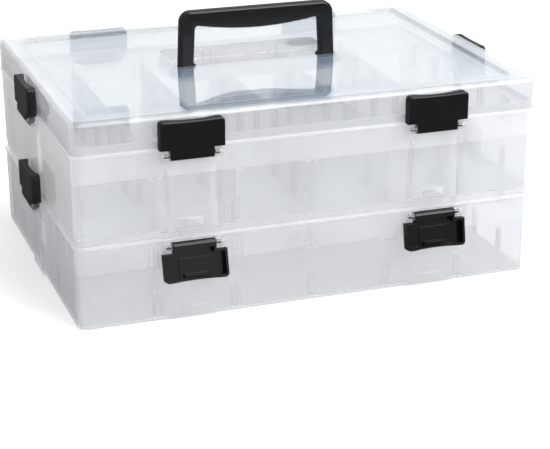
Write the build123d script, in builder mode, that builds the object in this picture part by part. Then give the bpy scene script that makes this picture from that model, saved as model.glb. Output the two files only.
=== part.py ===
"""Two-tier clear storage box for art supplies, with a lid, a folding handle and snap latches.

Frame: millimetres, +Z up, front towards -Y, origin in the middle of the face the box rests on.
"""
from build123d import *
import os

# ---------------------------------------------------------------- driving dimensions
box_width = 381.0          # outside of the lid skirt, along X
box_depth = 275.0          # outside of the lid skirt, along Y
corner_radius = 9.0        # vertical corners of the lid skirt and the tray flange
clearance = 0.2            # between parts that rest on each other
overlap = 0.3              # how far joined solids reach into each other

# trays (both tiers are the same moulding)
tray_height = 73.4         # resting face to top of the rim
seat_height = 1.2          # plinth that drops inside the rim below
floor_top = 2.2
wall = 2.0
band_bottom = 45.3         # thicker upper part of the wall starts here
flange_bottom = 65.1
flange_top = 67.5
bottom_inset = 1.1         # wall outside, from the lid outside, at the bottom
mid_inset = 0.8            # the same just below the band
band_inset = 0.6           # the same over the band
flange_out = 0.7           # flange outside, beyond the lid outside
rim_inset = 2.0            # rim that goes inside the lid skirt
rim_wall = 1.5
inner_inset = 3.6          # wall inside, from the lid outside, at the floor
plinth_inset = 4.0
plinth_corner = 5.0        # corner radii, from the bottom up
bottom_corner = 7.6
mid_corner = 8.0
band_corner = 8.2
rim_corner = 7.0
inner_corner = 5.0
flange_round = 0.9
tier_pitch = tray_height - seat_height + clearance

# slots for the dividers
column_pitch = box_width / 6
row_pitch = box_depth / 6
slot_width = 2.6
slot_depth = 2.4
slot_root = 1.0            # reach of the blocks beside a slot into the wall
low_rib = 2.2              # thickness of each of the two ribs beside a slot
low_rib_top = 21.5
guide_width = 11.5         # block round a slot behind the band
guide_bottom = 43.3
guide_top = 64.0

# latches
latch_width = 50.8
latch_tab_width = 34.0
latch_top = 27.4           # above the pivot
latch_step = 5.1           # lower edge of the wide part, above the pivot
latch_front = 3.9          # outside of the front plate, from the pivot
latch_back = 3.6           # open side of the cup, from the pivot
latch_plate = 1.8
latch_rim = 2.0
barrel_radius = 3.65
pin_radius = 1.6
pin_reach = 21.5
hook_width = 18.5
hook_bottom = 21.7
hook_height = 2.5
hook_tip = 1.9             # towards the box, from the pivot
pad_width = 25.0
pad_bottom = 9.9
pad_height = 0.9
notch_width = 38.0
notch_depth = 2.6
top_dip = 0.4              # hollow of the top edge, seen from the front
top_flat = 5.5             # straight part at each end of the top edge
corner_top = 3.2
corner_step = 1.8
latch_front_round = 1.2
dot_spacing = 10.0         # two ejector dots on the pad
dot_height = 16.0
dot_radius = 0.9
dot_rise = 0.35

# where the latches sit
pivot_height = 62.5        # above the resting face of the tray that carries the latch
pivot_out = 5.1            # outwards from the face of the lid skirt
front_latch_x = 100.0

# bosses, pilasters and catches that the latches need on the mouldings
lug_inner = 17.5
lug_width = 6.0
lug_radius = 3.6
lug_hole_radius = 1.68
pilaster_face = 34.0
pilaster_base = 44.0
pilaster_out = 0.8         # its face, outwards from the face of the lid skirt
pilaster_root = 1.0        # reach into the wall behind
pilaster_flare_bottom = 47.0
pilaster_flare_top = 58.0
catch_ledge = 11.0         # above the resting face of a tray
catch_width = 20.0
catch_out = 4.3
catch_height = 8.5
catch_lip = 2.5            # upright part of the nose, above the ramp
catch_root = 0.5           # reach into the wall behind

# lid
lid_wall = 1.6
lid_plate = 2.0
lid_edge_radius = 4.5
lid_top = 165.8            # border round the panel
panel_top = 163.3
panel_inset = 17.0         # foot of the step from the panel up to the border
panel_slope = 0.8          # how far the step leans out
step_wall = 1.0
panel_corner = 3.0
lid_bottom = tier_pitch + flange_top + clearance

# handle and the pocket it folds into
handle_width = 136.6
handle_lean = 2.3          # each leg leans inwards by this much over its height
handle_leg = 12.3
handle_thick = 9.5
handle_reach = 50.5        # pivot to top of the grip
grip_end = 12.0            # height of the grip where it meets the legs
grip_middle = 17.5         # height of the grip at the fullest point
grip_corner = 9.5
grip_inner_corner = 3.0
handle_round = 2.4
gusset_out = 2.6           # small stop inside each leg, just above the pocket
gusset_thick = 6.0
gusset_heights = (0.5, 3.0, 5.5, 8.5)
handle_pivot = panel_top - 5.3
trunnion_radius = 2.5
trunnion_reach = 73.0
pocket_half_width = 69.6
pocket_front = -5.3
pocket_back = 54.0
pocket_depth = 10.6
pocket_wall = 1.8
pocket_radius = 8.0

# dividers
divider_thick = 1.6
divider_bottom = floor_top + 0.2
divider_top = 58.5
divider_half_length = 133.4
divider_rib = 1.2
divider_rib_out = 1.5

# ---------------------------------------------------------------- stations round the box
half_w = box_width / 2
half_d = box_depth / 2
# name, middle of the latch on the skirt face, and turn about Z from the front
stations = [
    ("front_left", (-front_latch_x, -half_d), 0),
    ("front_right", (front_latch_x, -half_d), 0),
    ("back_left", (-front_latch_x, half_d), 180),
    ("back_right", (front_latch_x, half_d), 180),
    ("left", (-half_w, 0), -90),
    ("right", (half_w, 0), 90),
]
# latches that hang open, and how far each has swung
open_latches = {"lower_latch_front_left": 165.0, "lower_latch_front_right": 170.0}


def station_plane(spot, turn, height=0.0):
    """A level plane at a station: X along the wall, Y into the box."""
    return Plane(Location((spot[0], spot[1], height), (0, 0, turn)))


def face_plane(spot, turn, out=0.0):
    """The plane of the skirt face at a station, or one further out: X along the wall, Y up, Z outwards."""
    level = station_plane(spot, turn)
    return Plane(origin=level.origin - level.y_dir * out, x_dir=level.x_dir, z_dir=-level.y_dir)


def side_plane(spot, turn, along):
    """The plane across a station, at a distance along the wall: X into the box, Y up."""
    level = station_plane(spot, turn)
    return Plane(origin=level.origin + level.x_dir * along, x_dir=level.y_dir, z_dir=level.x_dir)


def outline(plane, points):
    """A closed straight-sided profile."""
    with BuildSketch(plane) as profile:
        with BuildLine():
            Polyline(*points, close=True)
        make_face()
    return profile.sketch


def box_outline(height, inset, radius):
    """Rounded rectangle that lies inside the lid outside by the inset."""
    with BuildSketch(Plane.XY.offset(height)) as profile:
        RectangleRounded(box_width - 2 * inset, box_depth - 2 * inset, radius)
    return profile.sketch


def level_edges(faces):
    """The edges of these faces that lie level."""
    return faces.edges().filter_by(lambda edge: edge.bounding_box().size.Z < 0.01)


def pilaster_plan(spot, turn):
    face, base = pilaster_face / 2, pilaster_base / 2
    root = bottom_inset + pilaster_root
    points = [(-face, -pilaster_out), (face, -pilaster_out), (base, bottom_inset), (base, root)]
    points += [(-base, root), (-base, bottom_inset)]
    return outline(station_plane(spot, turn, seat_height), points)


def pilaster_flare(spot, turn):
    face, flare = pilaster_face / 2, lug_inner + lug_width
    low, high = pilaster_flare_bottom, pilaster_flare_top
    points = [(-face, low), (face, low), (flare, high), (flare, flange_bottom)]
    points += [(-flare, flange_bottom), (-flare, high)]
    return outline(face_plane(spot, turn, pilaster_out), points)


def pilaster_hollow(spot, turn):
    face, base = pilaster_face / 2 - 1.4, pilaster_base / 2 - 1.6
    skin = wall - pilaster_out
    root = inner_inset + 0.5
    points = [(-face, skin), (face, skin), (base, root), (-base, root)]
    return outline(station_plane(spot, turn, floor_top), points)


def lug_profile(spot, turn, along):
    """Round boss for a pin, joined to the wall behind it."""
    with BuildSketch(side_plane(spot, turn, along)) as profile:
        with Locations((-pivot_out, pivot_height)):
            Circle(lug_radius)
        root = band_inset + overlap
        with Locations(((root - pivot_out) / 2, pivot_height)):
            Rectangle(pivot_out + root, 2 * lug_radius)
    return profile.sketch


def slot_blocks(turn, height, wall_half, pitch, thickness):
    """Pairs of blocks beside the five slots on one wall; +Y of their plane points out through the wall."""
    with BuildSketch(Plane(Location((0, 0, height), (0, 0, turn)))) as profile:
        for step in range(-2, 3):
            for side in (-1, 1):
                along = step * pitch + side * (slot_width + thickness) / 2
                with Locations((along, wall_half + (slot_root - slot_depth) / 2)):
                    Rectangle(thickness, slot_depth + slot_root)
    return profile.sketch


# ---------------------------------------------------------------- catch that a hook sits over
# origin on the skirt face, level with the ledge; a nose with a round plan and a ramp below
nose_radius = ((catch_width / 2) ** 2 + catch_out ** 2) / (2 * catch_out)
nose_points = [
    (catch_root, 0),
    (-catch_out, 0),
    (-catch_out, -catch_lip),
    (0, -catch_height),
    (catch_root, -catch_height),
]
with BuildPart() as catch:
    extrude(outline(side_plane((0, 0), 0, -catch_width / 2), nose_points), amount=catch_width)
    with BuildSketch(Plane.XY.offset(-catch_height)):
        with Locations((0, nose_radius - catch_out)):
            Circle(nose_radius)
    extrude(amount=catch_height, mode=Mode.INTERSECT)


def catch_at(spot, turn, ledge):
    """The catch in its place at a station."""
    return catch.part.moved(station_plane(spot, turn, ledge).location)


# ---------------------------------------------------------------- tray
with BuildPart() as flange:
    extrude(
        box_outline(flange_bottom, -flange_out, corner_radius + flange_out),
        amount=flange_top - flange_bottom,
    )
    fillet(level_edges(flange.faces()), flange_round)

with BuildPart() as tray:
    # plinth, then the wall up to the rim
    extrude(box_outline(0, plinth_inset, plinth_corner), amount=seat_height + 0.5)
    loft(
        [
            box_outline(seat_height, bottom_inset, bottom_corner),
            box_outline(band_bottom, mid_inset, mid_corner),
        ]
    )
    extrude(box_outline(band_bottom, band_inset, band_corner), amount=flange_bottom - band_bottom)
    add(flange.part)
    extrude(box_outline(flange_top, rim_inset, rim_corner), amount=tray_height - flange_top)

    # pilaster below each latch, wider under the pivot bosses
    for name, spot, turn in stations:
        extrude(pilaster_plan(spot, turn), amount=flange_bottom - seat_height)
        extrude(pilaster_flare(spot, turn), amount=-(pilaster_out + band_inset + pilaster_root))

    # inside
    loft(
        [
            box_outline(floor_top, inner_inset, inner_corner),
            box_outline(tray_height, rim_inset + rim_wall, rim_corner - rim_wall),
        ],
        mode=Mode.SUBTRACT,
    )
    for name, spot, turn in stations:
        extrude(pilaster_hollow(spot, turn), amount=pilaster_flare_top - floor_top, mode=Mode.SUBTRACT)

    # pivot bosses and catches
    for name, spot, turn in stations:
        for along in (lug_inner, -lug_inner - lug_width):
            extrude(lug_profile(spot, turn, along), amount=lug_width)
        with BuildSketch(side_plane(spot, turn, -pin_reach - 0.4)) as bore:
            with Locations((-pivot_out, pivot_height)):
                Circle(lug_hole_radius)
        extrude(bore.sketch, amount=2 * pin_reach + 0.8, mode=Mode.SUBTRACT)
        add(catch_at(spot, turn, catch_ledge))

    # slots for the dividers: short ribs on the floor, deeper blocks behind the band
    inner_d = half_d - inner_inset
    inner_w = half_w - inner_inset
    guide_side = (guide_width - slot_width) / 2
    for turn, inner, pitch in ((0, inner_d, column_pitch), (180, inner_d, column_pitch),
                               (90, inner_w, row_pitch), (-90, inner_w, row_pitch)):
        rib_foot = floor_top - overlap
        extrude(slot_blocks(turn, rib_foot, inner, pitch, low_rib), amount=low_rib_top - rib_foot)
        extrude(slot_blocks(turn, guide_bottom, inner, pitch, guide_side), amount=guide_top - guide_bottom)

# ---------------------------------------------------------------- lid
pocket_floor = panel_top - pocket_depth
pocket_middle = (pocket_front + pocket_back) / 2
pocket_length = pocket_back - pocket_front
border_under = lid_top - lid_plate
with BuildPart() as lid_hollow:
    mouth = lid_bottom - 1
    extrude(box_outline(mouth, lid_wall, corner_radius - lid_wall), amount=border_under - mouth)
    fillet(lid_hollow.faces().sort_by(Axis.Z)[-1].edges(), lid_edge_radius - 1.0)

with BuildPart() as lid:
    extrude(box_outline(lid_bottom, 0, corner_radius), amount=lid_top - lid_bottom)
    fillet(lid.faces().sort_by(Axis.Z)[-1].edges(), lid_edge_radius)
    add(lid_hollow.part, mode=Mode.SUBTRACT)
    # panel, a step lower than the border round it
    step_outside = panel_inset - step_wall
    loft(
        [
            box_outline(panel_top - lid_plate, step_outside, panel_corner + step_wall),
            box_outline(border_under + overlap, step_outside - panel_slope, panel_corner + step_wall),
        ]
    )
    loft(
        [
            box_outline(panel_top, panel_inset, panel_corner),
            box_outline(lid_top + overlap, panel_inset - panel_slope, panel_corner),
        ],
        mode=Mode.SUBTRACT,
    )

    # pocket that the handle folds into, with a boss for each trunnion
    with BuildSketch(Plane.XY.offset(pocket_floor - pocket_wall)):
        with Locations((0, pocket_middle)):
            RectangleRounded(
                2 * (pocket_half_width + pocket_wall),
                pocket_length + 2 * pocket_wall,
                pocket_radius + pocket_wall,
            )
    extrude(amount=pocket_depth + pocket_wall - 0.8)
    with BuildSketch(Plane.YZ.offset(-trunnion_reach - 2.0)):
        with Locations((0, handle_pivot)):
            Circle(trunnion_radius + 2.0)
    extrude(amount=2 * trunnion_reach + 4.0)
    with BuildSketch(Plane.XY.offset(pocket_floor)):
        with Locations((0, pocket_middle)):
            RectangleRounded(2 * pocket_half_width, pocket_length, pocket_radius)
        # square front corners, where the legs stand
        with Locations((0, pocket_front + pocket_radius / 2)):
            Rectangle(2 * pocket_half_width, pocket_radius)
    extrude(amount=pocket_depth + 1, mode=Mode.SUBTRACT)
    with BuildSketch(Plane.YZ.offset(-trunnion_reach - 0.4)):
        with Locations((0, handle_pivot)):
            Circle(trunnion_radius + 0.08)
    extrude(amount=2 * trunnion_reach + 0.8, mode=Mode.SUBTRACT)

    # catches for the upper latches, as high above the rim as those on a tray
    for name, spot, turn in stations:
        add(catch_at(spot, turn, 2 * tier_pitch + catch_ledge))

# ---------------------------------------------------------------- handle
foot = -handle_thick / 2
outer_foot = handle_width / 2
outer_top = outer_foot - handle_lean
inner_foot = outer_foot - handle_leg
inner_top = inner_foot - handle_lean
grip_under = handle_reach - grip_end
with BuildPart() as handle:
    with BuildSketch(Plane.XZ) as front_view:
        with BuildLine():
            Polyline(
                (inner_top, grip_under),
                (inner_foot, foot),
                (outer_foot, foot),
                (outer_top, handle_reach),
                (-outer_top, handle_reach),
                (-outer_foot, foot),
                (-inner_foot, foot),
                (-inner_top, grip_under),
            )
            ThreePointArc(
                (-inner_top, grip_under),
                (0, handle_reach - grip_middle),
                (inner_top, grip_under),
            )
        make_face()
        fillet(front_view.vertices().group_by(Axis.Y)[-1], grip_corner)
        inner_corners = front_view.vertices().filter_by(lambda v: abs(abs(v.X) - inner_top) < 0.1)
        fillet(inner_corners, grip_inner_corner)
    extrude(amount=handle_thick / 2, both=True)
    side_rims = handle.faces().filter_by(Axis.Y).edges()
    fillet(side_rims.filter_by(lambda e: e.center().Z > foot + 1), handle_round)
    # half-round feet about the pivot
    with BuildSketch(Plane.YZ.offset(-outer_foot - 1)):
        Circle(handle_thick / 2)
        with Locations((0, handle_reach / 2)):
            Rectangle(handle_thick, handle_reach)
    extrude(amount=handle_width + 2, mode=Mode.INTERSECT)
    # stop gusset inside each leg, where it leaves the pocket
    gusset_foot, gusset_low, gusset_high, gusset_top = gusset_heights
    for side in (-1, 1):
        root, tip = side * (inner_foot + 1), side * (inner_foot - gusset_out)
        points = [(root, gusset_top), (tip, gusset_high), (tip, gusset_low), (root, gusset_foot)]
        extrude(outline(Plane.XZ.offset(-gusset_thick / 2), points), amount=gusset_thick)
    with BuildSketch(Plane.YZ.offset(-trunnion_reach)):
        Circle(trunnion_radius)
    extrude(amount=trunnion_reach - inner_foot - 3)
    with BuildSketch(Plane.YZ.offset(inner_foot + 3)):
        Circle(trunnion_radius)
    extrude(amount=trunnion_reach - inner_foot - 3)

# ---------------------------------------------------------------- latch, closed, pivot at the origin
with BuildPart() as latch:
    # seen from the front: wide part over a narrower tab, with a hollowed top edge
    half_latch, half_tab = latch_width / 2, latch_tab_width / 2
    with BuildSketch(Plane.XZ.offset(-latch_back)) as front_view:
        with BuildLine():
            Polyline(
                (half_latch, latch_top),
                (half_latch, latch_step),
                (half_tab, latch_step),
                (half_tab, -barrel_radius),
                (-half_tab, -barrel_radius),
                (-half_tab, latch_step),
                (-half_latch, latch_step),
                (-half_latch, latch_top),
                (-half_latch + top_flat, latch_top),
            )
            ThreePointArc(
                (-half_latch + top_flat, latch_top),
                (0, latch_top - top_dip),
                (half_latch - top_flat, latch_top),
            )
            Line((half_latch - top_flat, latch_top), (half_latch, latch_top))
        make_face()
        wide_corners = front_view.vertices().filter_by(lambda v: abs(abs(v.X) - half_latch) < 0.01)
        fillet(wide_corners.filter_by(lambda v: v.Y > latch_top / 2), corner_top)
        fillet(wide_corners.filter_by(lambda v: v.Y < latch_top / 2), corner_step)
    extrude(amount=latch_back + latch_front)
    # round barrel about the pivot
    with BuildSketch(Plane.YZ.offset(-half_latch - 1)):
        Circle(barrel_radius)
        with Locations(((latch_back - latch_front) / 2, latch_top / 2)):
            Rectangle(latch_back + latch_front, latch_top + 1)
    extrude(amount=latch_width + 2, mode=Mode.INTERSECT)
    front_face = latch.faces().filter_by(Axis.Y).sort_by(Axis.Y)[0]
    fillet(front_face.edges().filter_by(lambda e: e.center().Z > 0.5), latch_front_round)

    # cup behind the front plate; the barrel stays solid
    cup_wide, cup_tab = half_latch - latch_rim, half_tab - latch_rim
    cup_foot = latch_step + latch_rim
    cup_low = barrel_radius - 1.0
    with BuildSketch(Plane.XZ.offset(-latch_back)):
        with BuildLine():
            Polyline(
                (cup_wide, latch_top - latch_rim),
                (cup_wide, cup_foot),
                (cup_tab, cup_foot),
                (cup_tab, cup_low),
                (-cup_tab, cup_low),
                (-cup_tab, cup_foot),
                (-cup_wide, cup_foot),
                (-cup_wide, latch_top - latch_rim),
                close=True,
            )
        cup = make_face()
        fillet(cup.vertices().filter_by(lambda v: abs(v.X) > cup_tab + 1), 1.2)
    extrude(amount=latch_back + latch_front - latch_plate, mode=Mode.SUBTRACT)

    # raised pad with the hook, inside the plate
    with BuildSketch(Plane.XZ.offset(latch_front - latch_plate)) as pad:
        with Locations((0, (pad_bottom + hook_bottom + hook_height) / 2)):
            Rectangle(pad_width, hook_bottom + hook_height - pad_bottom)
    extrude(amount=-pad_height)
    with BuildSketch(Plane.XZ.offset(latch_front - latch_plate)):
        with Locations((0, hook_bottom + hook_height / 2)):
            Rectangle(hook_width, hook_height)
    extrude(amount=-(latch_front - latch_plate + hook_tip))
    with BuildSketch(Plane.XZ.offset(latch_front - latch_plate)):
        with Locations((-dot_spacing / 2, dot_height), (dot_spacing / 2, dot_height)):
            Circle(dot_radius)
    extrude(amount=-(pad_height + dot_rise))

    # finger notch behind the top edge
    notch_radius = ((notch_width / 2) ** 2 + notch_depth ** 2) / (2 * notch_depth)
    with BuildSketch(Plane.XY.offset(latch_top - latch_rim - 0.3)):
        with Locations((0, latch_back - notch_depth + notch_radius)):
            Circle(notch_radius)
    extrude(amount=latch_rim + 1, mode=Mode.SUBTRACT)

    # pins at both ends of the barrel
    with BuildSketch(Plane.YZ.offset(-pin_reach)):
        Circle(pin_radius)
    extrude(amount=2 * pin_reach)

# ---------------------------------------------------------------- divider
with BuildPart() as divider:
    divider_height = divider_top - divider_bottom
    with BuildSketch(Plane.XY.offset(divider_bottom)):
        Rectangle(divider_thick, 2 * divider_half_length)
        rib_middle = (slot_width + divider_rib) / 2
        for step in range(-2, 3):
            with Locations((0, step * row_pitch - rib_middle), (0, step * row_pitch + rib_middle)):
                Rectangle(divider_thick + 2 * divider_rib_out, divider_rib)
    extrude(amount=divider_height)

# ---------------------------------------------------------------- every piece in its place
pieces = {
    "lower_tray": tray.part,
    "upper_tray": tray.part.moved(Location((0, 0, tier_pitch))),
    "lid": lid.part,
    "handle": handle.part.moved(Location((0, 0, handle_pivot))),
}
for tier, base in (("lower", 0), ("upper", tier_pitch)):
    for name, spot, turn in stations:
        node = f"{tier}_latch_{name}"
        pivot = station_plane(spot, turn, base + pivot_height).location * Location((0, -pivot_out, 0))
        swing = open_latches.get(node, 0)
        pieces[node] = latch.part.moved(pivot * Location((0, 0, 0), (swing, 0, 0)))
for step in range(-2, 3):
    pieces[f"divider_{step + 3}"] = divider.part.moved(Location((step * column_pitch, 0, tier_pitch)))

os.makedirs("parts", exist_ok=True)
for node, part in pieces.items():
    part.label = node
    export_step(part, f"parts/{node}.step")
print(f"tier pitch {tier_pitch:.2f}, lid {lid_bottom:.2f} to {lid_top:.2f}, handle pivot {handle_pivot:.2f}")
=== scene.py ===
"""Looks of the two-tier clear storage box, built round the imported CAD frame.

Metres, Z up, front towards -Y. Every CAD node keeps its shape and gets a material: milky clear plastic,
or black plastic.
"""
import math

import bpy
from mathutils import Matrix, Vector


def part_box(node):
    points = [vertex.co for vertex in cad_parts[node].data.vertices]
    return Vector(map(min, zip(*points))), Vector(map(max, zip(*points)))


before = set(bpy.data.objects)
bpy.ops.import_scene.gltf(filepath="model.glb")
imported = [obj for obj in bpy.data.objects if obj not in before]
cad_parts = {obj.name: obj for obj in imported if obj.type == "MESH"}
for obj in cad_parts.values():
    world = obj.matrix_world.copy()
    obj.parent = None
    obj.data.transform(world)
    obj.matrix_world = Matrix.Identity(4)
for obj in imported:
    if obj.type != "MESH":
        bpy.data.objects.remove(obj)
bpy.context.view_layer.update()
scene = bpy.context.scene

# ---------------------------------------------------------------- places on the mouldings
OUTER_X, OUTER_Y = 0.1905, 0.1375              # outside of the lid skirt
WALL_INSIDE_X, WALL_INSIDE_Y = 0.1869, 0.1339  # inside of the tray walls
CORNER = 0.0090                                # what a rounded corner takes of a side

# in a tray, heights above its foot
lower_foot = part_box("lower_tray")[0].z
upper_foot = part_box("upper_tray")[0].z
FLOOR_TOP = 0.0022
RIBS_FROM = 0.0030
RIB_REACH = 0.0024                             # slot ribs, inwards from the wall
RIB_MARGIN = 0.0004                            # left out at the foot and the tip of a rib
THICK_BAND = (0.0453, 0.0740)                  # thicker wall, with the rim
FLANGE = (0.0650, 0.0676)
FLANGE_SOFT = 0.0003
BOSSES_FROM = 0.050
BOSS_OUT = 0.0013                              # above that, only bosses stand out further than this

# in the lid, heights above the floor at rest
SKIRT_DEPTH = 0.0060                           # the skirt and its rounding, inwards from the outside
SKIRT_FADE = (0.1595, 0.1625)                  # its milk ends between these heights
# heights of the painted highlight: extra white milk along the front rounding only
ROUNDING = (0.1618, 0.1640)                    # the rounding of the front edge
ROUNDING_DEPTH = 0.0040
ROUNDING_SOFT = 0.0005
POCKET_TOP = 0.1612
POCKET_REACH_X = 0.0720
POCKET_MIDDLE_Y, POCKET_REACH_Y = 0.0260, 0.0330

# ---------------------------------------------------------------- looks of the plastics
WHITE = (1.0, 1.0, 1.0, 1.0)

# share of the light that one face of the wall scatters, seen square on
LOWER_HAZE, UPPER_HAZE, LID_HAZE, DIVIDER_HAZE = 0.12, 0.23, 0.10, 0.07
ASLANT_HAZE, DIVIDER_ASLANT_HAZE = 1.6, 0.8    # how much that grows towards a grazing angle
CLOUD_SPAN, CLOUDY = (0.25, 0.75), (0.88, 1.12)  # how the haze varies over the clouds of a noise
MOST_MILK = 0.92

# what places scatter besides
TRAY_EDGE_MILK, LID_EDGE_MILK, DIVIDER_EDGE_MILK = 0.28, 0.22, 0.12
EDGE_TURN = (0.995, 0.80)                      # cosine of the turn where an edge begins and is full
BAND_MILK, FLANGE_MILK, RIB_MILK = 0.13, 0.07, 0.50
LOWER_FOOT_MILK, UPPER_FOOT_MILK = 0.10, 0.35
# the last of these is a painted highlight: extra white milk on the lid's front rounding only
SKIRT_MILK, POCKET_MILK, ROUNDING_PAINTED_HIGHLIGHT = 0.08, 0.10, 0.24
BOSS_CLEARER = 0.80                            # share of the milk that bosses don't have

# colours that milk scatters, and colours that one face lets through
WALL_THIN, LID_THIN = (0.80, 0.835, 0.90), (0.38, 0.57, 0.86)
THICK_MILK = (0.93, 0.935, 0.945)
THIN_TO_THICK = (0.12, 0.60)                   # shares of milk between which one turns into the other
WHITER_THICKNESS = 0.85                        # the skirt and the pocket look at least this thick
WALL_PASSES, LID_PASSES = (0.948, 0.944, 0.938), (0.970, 0.951, 0.898)
OUTLINE_DIMS, OUTLINE_POWER = 0.45, 8.0        # how much less passes at a grazing angle, how suddenly

TRAY_ROUGH, LID_ROUGH, DIVIDER_ROUGH = 0.04, 0.03, 0.10
CLEAR_MIRROR = (0.04, 0.96)                    # mirror share square on, and what a grazing angle adds
BLACK_MIRROR = (0.034, 0.16)
CLEAR_ROUNDING, BLACK_ROUNDING = 0.0009, 0.0005  # radius that edges look rounded by
BLACK_TONES = (0.0018, 0.0018, 0.0021), (0.0028, 0.0028, 0.0032)
GRAIN_SPAN, BLACK_ROUGH = (0.3, 0.7), (0.13, 0.21)


# ---------------------------------------------------------------- node helpers
class Nodes:
    """Short way to add and join the nodes of one shader."""

    def __init__(self, tree):
        self.tree = tree
        tree.nodes.clear()

    def add(self, kind, settings=None, **inputs):
        """Adds a node. An input goes by its name, or by its number as i0, i1 and so on."""
        node = self.tree.nodes.new(kind)
        for key, value in (settings or {}).items():
            setattr(node, key, value)
        for key, value in inputs.items():
            numbered = key[0] == "i" and key[1:].isdigit()
            self.put(node.inputs[int(key[1:]) if numbered else key], value)
        return node

    def put(self, socket, value):
        """Joins a socket or a node's first output to an input, or sets the input to a value."""
        if isinstance(value, bpy.types.NodeSocket):
            self.tree.links.new(value, socket)
        elif isinstance(value, bpy.types.Node):
            self.tree.links.new(value.outputs[0], socket)
        else:
            socket.default_value = value

    def math(self, operation, *values):
        node = self.add("ShaderNodeMath", {"operation": operation})
        for socket, value in zip(node.inputs, values):
            self.put(socket, value)
        return node.outputs[0]

    def product(self, first, *others):
        """Multiplies its values together. A product of masks is 1 where all of them are 1."""
        for other in others:
            first = self.math("MULTIPLY", first, other)
        return first

    def ramp(self, value, low, high, at_low=0.0, at_high=1.0):
        """Goes smoothly from at_low to at_high while value goes from low to high."""
        node = self.add("ShaderNodeMapRange", {"interpolation_type": "SMOOTHSTEP"},
                        i0=value, i1=low, i2=high, i3=at_low, i4=at_high)
        return node.outputs[0]

    def band(self, height, low, high, soft=0.0006):
        """1 between two heights, with soft ends."""
        begins = self.ramp(height, low - soft, low + soft)
        ends = self.ramp(height, high - soft, high + soft, 1.0, 0.0)
        return self.product(begins, ends)

    def noise(self, position, scale, detail=3.0, roughness=0.5):
        node = self.add("ShaderNodeTexNoise", Vector=position, Scale=scale, Detail=detail,
                        Roughness=roughness)
        return node.outputs[0]

    def mix(self, share, first, second):
        """A colour that goes from the first to the second as share goes from 0 to 1."""
        node = self.add("ShaderNodeMix", {"data_type": "RGBA"}, Factor=share,
                        i6=(*first, 1.0), i7=(*second, 1.0))
        return node.outputs[2]

    def glossed(self, body, rough, normal, square_on, grazing):
        """The body under a gloss. Its mirror share is the same from both sides of a face."""
        gloss = self.add("ShaderNodeBsdfGlossy", Color=WHITE, Roughness=rough, Normal=normal)
        aslant = self.add("ShaderNodeLayerWeight", Blend=0.5, Normal=normal).outputs["Facing"]
        share = self.math("MULTIPLY_ADD", self.math("POWER", aslant, 5.0), grazing, square_on)
        return self.add("ShaderNodeMixShader", i0=share, i1=body, i2=gloss)


def empty_material(name):
    material = bpy.data.materials.new(name)
    material.use_nodes = True
    return material


# ---------------------------------------------------------------- plastics
class ClearPlastic(Nodes):
    """Milky clear plastic: part of the light passes straight through, part scatters, under a gloss.

    milk is the share that scatters. It grows from haze, seen square on, towards a grazing angle.
    """

    def __init__(self, name, haze, aslant_haze=ASLANT_HAZE):
        self.material = empty_material(name)
        super().__init__(self.material.node_tree)
        spot = self.add("ShaderNodeTexCoord").outputs["Object"]
        x, self.y, self.height = self.add("ShaderNodeSeparateXYZ", Vector=spot).outputs
        self.reach_x = self.math("ABSOLUTE", x)
        self.reach_y = self.math("ABSOLUTE", self.y)

        # rounded edges, over the slow waviness of the moulded walls
        rounded = self.add("ShaderNodeBevel", {"samples": 3}, Radius=CLEAR_ROUNDING).outputs[0]
        waves = self.noise(spot, scale=14.0, detail=2.0)
        self.normal = self.add("ShaderNodeBump", Strength=0.10, Distance=0.004, Height=waves,
                               Normal=rounded)

        # edges are where rounding turns the normal
        flat = self.add("ShaderNodeNewGeometry").outputs["True Normal"]
        turned = self.add("ShaderNodeVectorMath", {"operation": "DOT_PRODUCT"}, i0=rounded, i1=flat)
        self.edges = self.ramp(turned.outputs["Value"], *EDGE_TURN)

        clouds = self.noise(spot, scale=9.0, detail=3.0, roughness=0.55)
        cloudy = self.ramp(clouds, *CLOUD_SPAN, *CLOUDY)
        self.facing = self.add("ShaderNodeLayerWeight", Blend=0.5).outputs["Facing"]
        slanted = self.math("MULTIPLY_ADD", self.facing, aslant_haze, 1.0)
        self.milk = self.product(cloudy, slanted, haze)

    def add_milk(self, where, amount):
        self.milk = self.math("ADD", self.milk, self.math("MULTIPLY", where, amount))

    def finish(self, thin, passes, rough, whiter=None):
        """thin is the colour that thin milk scatters, and passes what one face lets through.

        whiter masks the places that are as white and neutral as the tray walls.
        """
        milk = self.math("MINIMUM", self.milk, MOST_MILK)
        thickness = self.ramp(milk, *THIN_TO_THICK)
        if whiter is not None:
            thickness = self.math("MAXIMUM", self.math("MULTIPLY", whiter, WHITER_THICKNESS), thickness)
            passes = self.mix(whiter, passes, WALL_PASSES)
        colour = self.mix(thickness, thin, THICK_MILK)
        towards = self.add("ShaderNodeBsdfDiffuse", Color=colour, Normal=self.normal)
        onwards = self.add("ShaderNodeBsdfTranslucent", Color=colour, Normal=self.normal)
        scatter = self.add("ShaderNodeMixShader", i0=0.5, i1=towards, i2=onwards)
        # curved corners seen along their wall let less light through, which draws their outlines
        grazing = self.math("POWER", self.facing, OUTLINE_POWER)
        outline = self.math("MULTIPLY_ADD", grazing, -OUTLINE_DIMS, 1.0)
        dimmed = self.add("ShaderNodeVectorMath", {"operation": "SCALE"}, i0=passes, Scale=outline)
        through = self.add("ShaderNodeBsdfTransparent", Color=dimmed)
        body = self.add("ShaderNodeMixShader", i0=milk, i1=through, i2=scatter)
        surface = self.glossed(body, rough, self.normal, *CLEAR_MIRROR)
        self.add("ShaderNodeOutputMaterial", Surface=surface)
        return self.material


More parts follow.
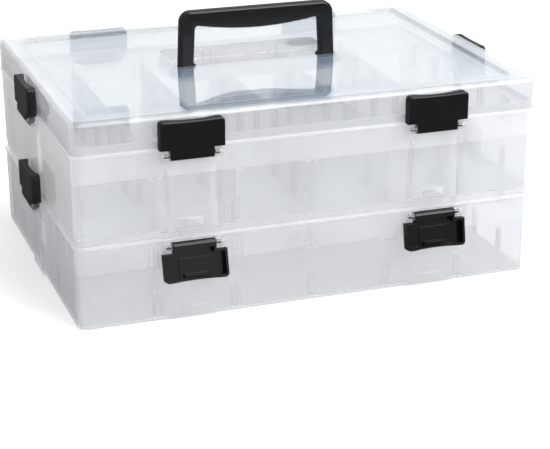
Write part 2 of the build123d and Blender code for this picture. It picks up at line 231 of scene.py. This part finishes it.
def tray_plastic(name, haze, foot, foot_milk):
    """A tray whose foot is at that height: milkier in its band, flange, floor and slot ribs."""
    n = ClearPlastic(name, haze)
    up = n.math("SUBTRACT", n.height, foot)
    n.add_milk(n.band(up, *THICK_BAND), BAND_MILK)
    n.add_milk(n.band(up, *FLANGE, FLANGE_SOFT), FLANGE_MILK)
    n.add_milk(n.ramp(up, 0.0, FLOOR_TOP, 1.0, 0.0), foot_milk)

    # ribs are what stands between the wall and their reach, away from the corners
    ribs = []
    for reach, wall, along, wall_along in (
        (n.reach_x, WALL_INSIDE_X, n.reach_y, WALL_INSIDE_Y),
        (n.reach_y, WALL_INSIDE_Y, n.reach_x, WALL_INSIDE_X),
    ):
        inside = n.math("COMPARE", reach, wall - RIB_REACH / 2, RIB_REACH / 2 - RIB_MARGIN)
        ribs.append(n.product(inside, n.math("LESS_THAN", along, wall_along - CORNER)))
    above_floor = n.math("GREATER_THAN", up, RIBS_FROM)
    n.add_milk(n.product(n.math("MAXIMUM", *ribs), above_floor), RIB_MILK)
    n.add_milk(n.edges, TRAY_EDGE_MILK)

    beyond_x = n.math("GREATER_THAN", n.reach_x, OUTER_X + BOSS_OUT)
    beyond_y = n.math("GREATER_THAN", n.reach_y, OUTER_Y + BOSS_OUT)
    high_up = n.math("GREATER_THAN", up, BOSSES_FROM)
    bosses = n.product(n.math("MAXIMUM", beyond_x, beyond_y), high_up)
    n.milk = n.math("MULTIPLY", n.milk, n.math("MULTIPLY_ADD", bosses, -BOSS_CLEARER, 1.0))
    return n.finish(WALL_THIN, WALL_PASSES, TRAY_ROUGH)


def lid_plastic(name):
    """The lid: milkier and whiter in its skirt and pocket, and with thick milk in its front rounding as
    a painted highlight.
    """
    n = ClearPlastic(name, LID_HAZE)
    outside = n.math("MAXIMUM", n.math("GREATER_THAN", n.reach_x, OUTER_X - SKIRT_DEPTH),
                     n.math("GREATER_THAN", n.reach_y, OUTER_Y - SKIRT_DEPTH))
    pocket = n.product(n.math("LESS_THAN", n.reach_x, POCKET_REACH_X),
                       n.math("COMPARE", n.y, POCKET_MIDDLE_Y, POCKET_REACH_Y),
                       n.math("LESS_THAN", n.height, POCKET_TOP))
    # painted highlight: only the front rounding gets this extra milk, where light catches the edge
    front = n.math("LESS_THAN", n.y, ROUNDING_DEPTH - OUTER_Y)
    rounding = n.product(n.band(n.height, *ROUNDING, ROUNDING_SOFT), front)
    n.add_milk(n.product(outside, n.ramp(n.height, *SKIRT_FADE, 1.0, 0.0)), SKIRT_MILK)
    n.add_milk(pocket, POCKET_MILK)
    n.add_milk(rounding, ROUNDING_PAINTED_HIGHLIGHT)
    n.add_milk(n.edges, LID_EDGE_MILK)
    return n.finish(LID_THIN, LID_PASSES, LID_ROUGH, whiter=n.math("MAXIMUM", outside, pocket))


def divider_plastic(name):
    n = ClearPlastic(name, DIVIDER_HAZE, DIVIDER_ASLANT_HAZE)
    n.add_milk(n.edges, DIVIDER_EDGE_MILK)
    return n.finish(WALL_THIN, WALL_PASSES, DIVIDER_ROUGH)


def black_plastic(name):
    """Black plastic with a fine grain, which varies its gloss too."""
    material = empty_material(name)
    n = Nodes(material.node_tree)
    spot = n.add("ShaderNodeTexCoord").outputs["Object"]
    grain = n.noise(spot, scale=1500.0, detail=3.0, roughness=0.6)
    rough = n.ramp(grain, *GRAIN_SPAN, *BLACK_ROUGH)
    rounded = n.add("ShaderNodeBevel", {"samples": 4}, Radius=BLACK_ROUNDING)
    bump = n.add("ShaderNodeBump", Strength=0.14, Distance=0.00008, Height=grain, Normal=rounded)
    colour = n.mix(n.noise(spot, scale=40.0), *BLACK_TONES)
    matt = n.add("ShaderNodeBsdfDiffuse", Color=colour, Normal=bump)
    surface = n.glossed(matt, rough, bump, *BLACK_MIRROR)
    n.add("ShaderNodeOutputMaterial", Surface=surface)
    return material


shells = {
    "lower_tray": tray_plastic("lower_tray_plastic", LOWER_HAZE, lower_foot, LOWER_FOOT_MILK),
    "upper_tray": tray_plastic("upper_tray_plastic", UPPER_HAZE, upper_foot, UPPER_FOOT_MILK),
    "lid": lid_plastic("lid_plastic"),
}
dividers = divider_plastic("divider_plastic")
black = black_plastic("black_plastic")
for name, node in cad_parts.items():
    node.data.materials.clear()
    node.data.materials.append(dividers if name.startswith("divider") else shells.get(name, black))

# ---------------------------------------------------------------- floor
FLOOR_TONES = (0.885, 0.885, 0.885), (0.90, 0.90, 0.90)
FLOOR_GLOW = 0.28
# places and tones of the painted reflection, a grey that stands in for floor in shade, seen only by
# glossy rays
LEFT_REFLECTED_SHADE_PLACE, LEFT_REFLECTED_SHADE_TONE = (-0.37, -0.21), (0.52, 0.28)
RIGHT_REFLECTED_SHADE_PLACE, RIGHT_REFLECTED_SHADE_TONE = (-0.25, 0.35), (0.0, 0.30)

floor_material = empty_material("floor")
n = Nodes(floor_material.node_tree)
spot = n.add("ShaderNodeTexCoord").outputs["Object"]
paper = n.add("ShaderNodeBsdfDiffuse", Color=n.mix(n.noise(spot, scale=6.0), *FLOOR_TONES))
# lit a little from below, as on a light table
below = n.add("ShaderNodeEmission", Strength=FLOOR_GLOW)
table = n.add("ShaderNodeAddShader", i0=paper, i1=below)
# painted reflection: glossy rays see a grey glow in place of the floor, standing in for floor in shade;
# one grey pales to the left, and one to the right
across = n.add("ShaderNodeSeparateXYZ", Vector=spot).outputs[0]
left_reflected_shade = n.ramp(across, *LEFT_REFLECTED_SHADE_PLACE, *LEFT_REFLECTED_SHADE_TONE)
right_reflected_shade = n.ramp(across, *RIGHT_REFLECTED_SHADE_PLACE, *RIGHT_REFLECTED_SHADE_TONE)
reflected_shade_tone = n.math("MAXIMUM", left_reflected_shade, right_reflected_shade)
reflected_shade_colour = n.add("ShaderNodeCombineColor", i0=reflected_shade_tone, i1=reflected_shade_tone, i2=reflected_shade_tone)
painted_reflection = n.add("ShaderNodeEmission", Color=reflected_shade_colour)
mirrored = n.add("ShaderNodeLightPath").outputs["Is Glossy Ray"]
surface = n.add("ShaderNodeMixShader", i0=mirrored, i1=table, i2=painted_reflection)
n.add("ShaderNodeOutputMaterial", Surface=surface)

bpy.ops.mesh.primitive_plane_add(size=12.0, location=(0.0, 0.0, 0.0))
floor = bpy.context.object
floor.name = "floor"
floor.data.materials.append(floor_material)

# ---------------------------------------------------------------- light
SKY_COLOUR = (0.98, 0.99, 1.0, 1.0)
SKY_SPAN, SKY_GLOW = (-0.95, 0.00), (0.53, 0.75)  # from the left to the middle of the sky
SHEET_GLOW = 0.70
SHEET_BACK, SHEET_UP, SHEET_RIGHT = (0.30, 0.80), (0.80, 0.40), (-0.20, 0.12)  # how it fades in

world = bpy.data.worlds.new("studio")
world.use_nodes = True
scene.world = world
sky = Nodes(world.node_tree)
way = sky.add("ShaderNodeTexCoord").outputs["Generated"]
rightwards, backwards, upwards = sky.add("ShaderNodeSeparateXYZ", Vector=way).outputs
from_left = sky.ramp(rightwards, *SKY_SPAN, *SKY_GLOW)
# a bright sheet low behind the set, to the right
sheet = sky.product(sky.ramp(backwards, *SHEET_BACK), sky.ramp(upwards, *SHEET_UP),
                    sky.ramp(rightwards, *SHEET_RIGHT))
glow = sky.math("MULTIPLY_ADD", sheet, SHEET_GLOW, from_left)
backdrop = sky.add("ShaderNodeBackground", Color=SKY_COLOUR, Strength=glow)
sky.add("ShaderNodeOutputWorld", Surface=backdrop)


def softbox(name, place, target, size, power):
    """An oblong lamp at a place, turned towards a target."""
    light = bpy.data.lights.new(name, "AREA")
    light.shape = "RECTANGLE"
    light.size, light.size_y = size
    light.energy = power
    lamp = bpy.data.objects.new(name, light)
    scene.collection.objects.link(lamp)
    lamp.location = place
    lamp.rotation_euler = (Vector(target) - Vector(place)).to_track_quat("-Z", "Y").to_euler()


softbox("key", place=(1.0, -1.5, 1.3), target=(0.0, 0.0, 0.08), size=(1.6, 1.2), power=34.0)
softbox("top", place=(0.35, -0.30, 1.5), target=(0.0, 0.0, 0.16), size=(1.0, 0.8), power=8.0)

# ---------------------------------------------------------------- camera
PHOTO_WIDTH = 550.0                            # pixels
FOCAL_LENGTH = 1687.07                         # pixels
SENSOR_WIDTH = 36.0                            # mm
CAMERA_PLACE = (-0.4425, -1.2905, 0.5296)
CAMERA_TURN, CAMERA_TILT = -19.578, 20.651     # degrees round Z from the front, and above level

lens = bpy.data.cameras.new("camera")
lens.sensor_fit = "HORIZONTAL"
lens.sensor_width = SENSOR_WIDTH
lens.lens = SENSOR_WIDTH * FOCAL_LENGTH / PHOTO_WIDTH
lens.clip_start = 0.05
camera = bpy.data.objects.new("camera", lens)
scene.collection.objects.link(camera)
turn, tilt = math.radians(CAMERA_TURN), math.radians(CAMERA_TILT)
back = Vector((math.sin(turn) * math.cos(tilt), -math.cos(turn) * math.cos(tilt), math.sin(tilt)))
right = Vector((math.cos(turn), math.sin(turn), 0.0))
axes = Matrix((right, back.cross(right), back)).transposed()
camera.matrix_world = Matrix.Translation(CAMERA_PLACE) @ axes.to_4x4()
scene.camera = camera
scene.view_settings.view_transform = "Standard"

# light has many thin walls to pass
scene.cycles.max_bounces = 16
scene.cycles.diffuse_bounces = 8
scene.cycles.glossy_bounces = 6
scene.cycles.transparent_max_bounces = 40
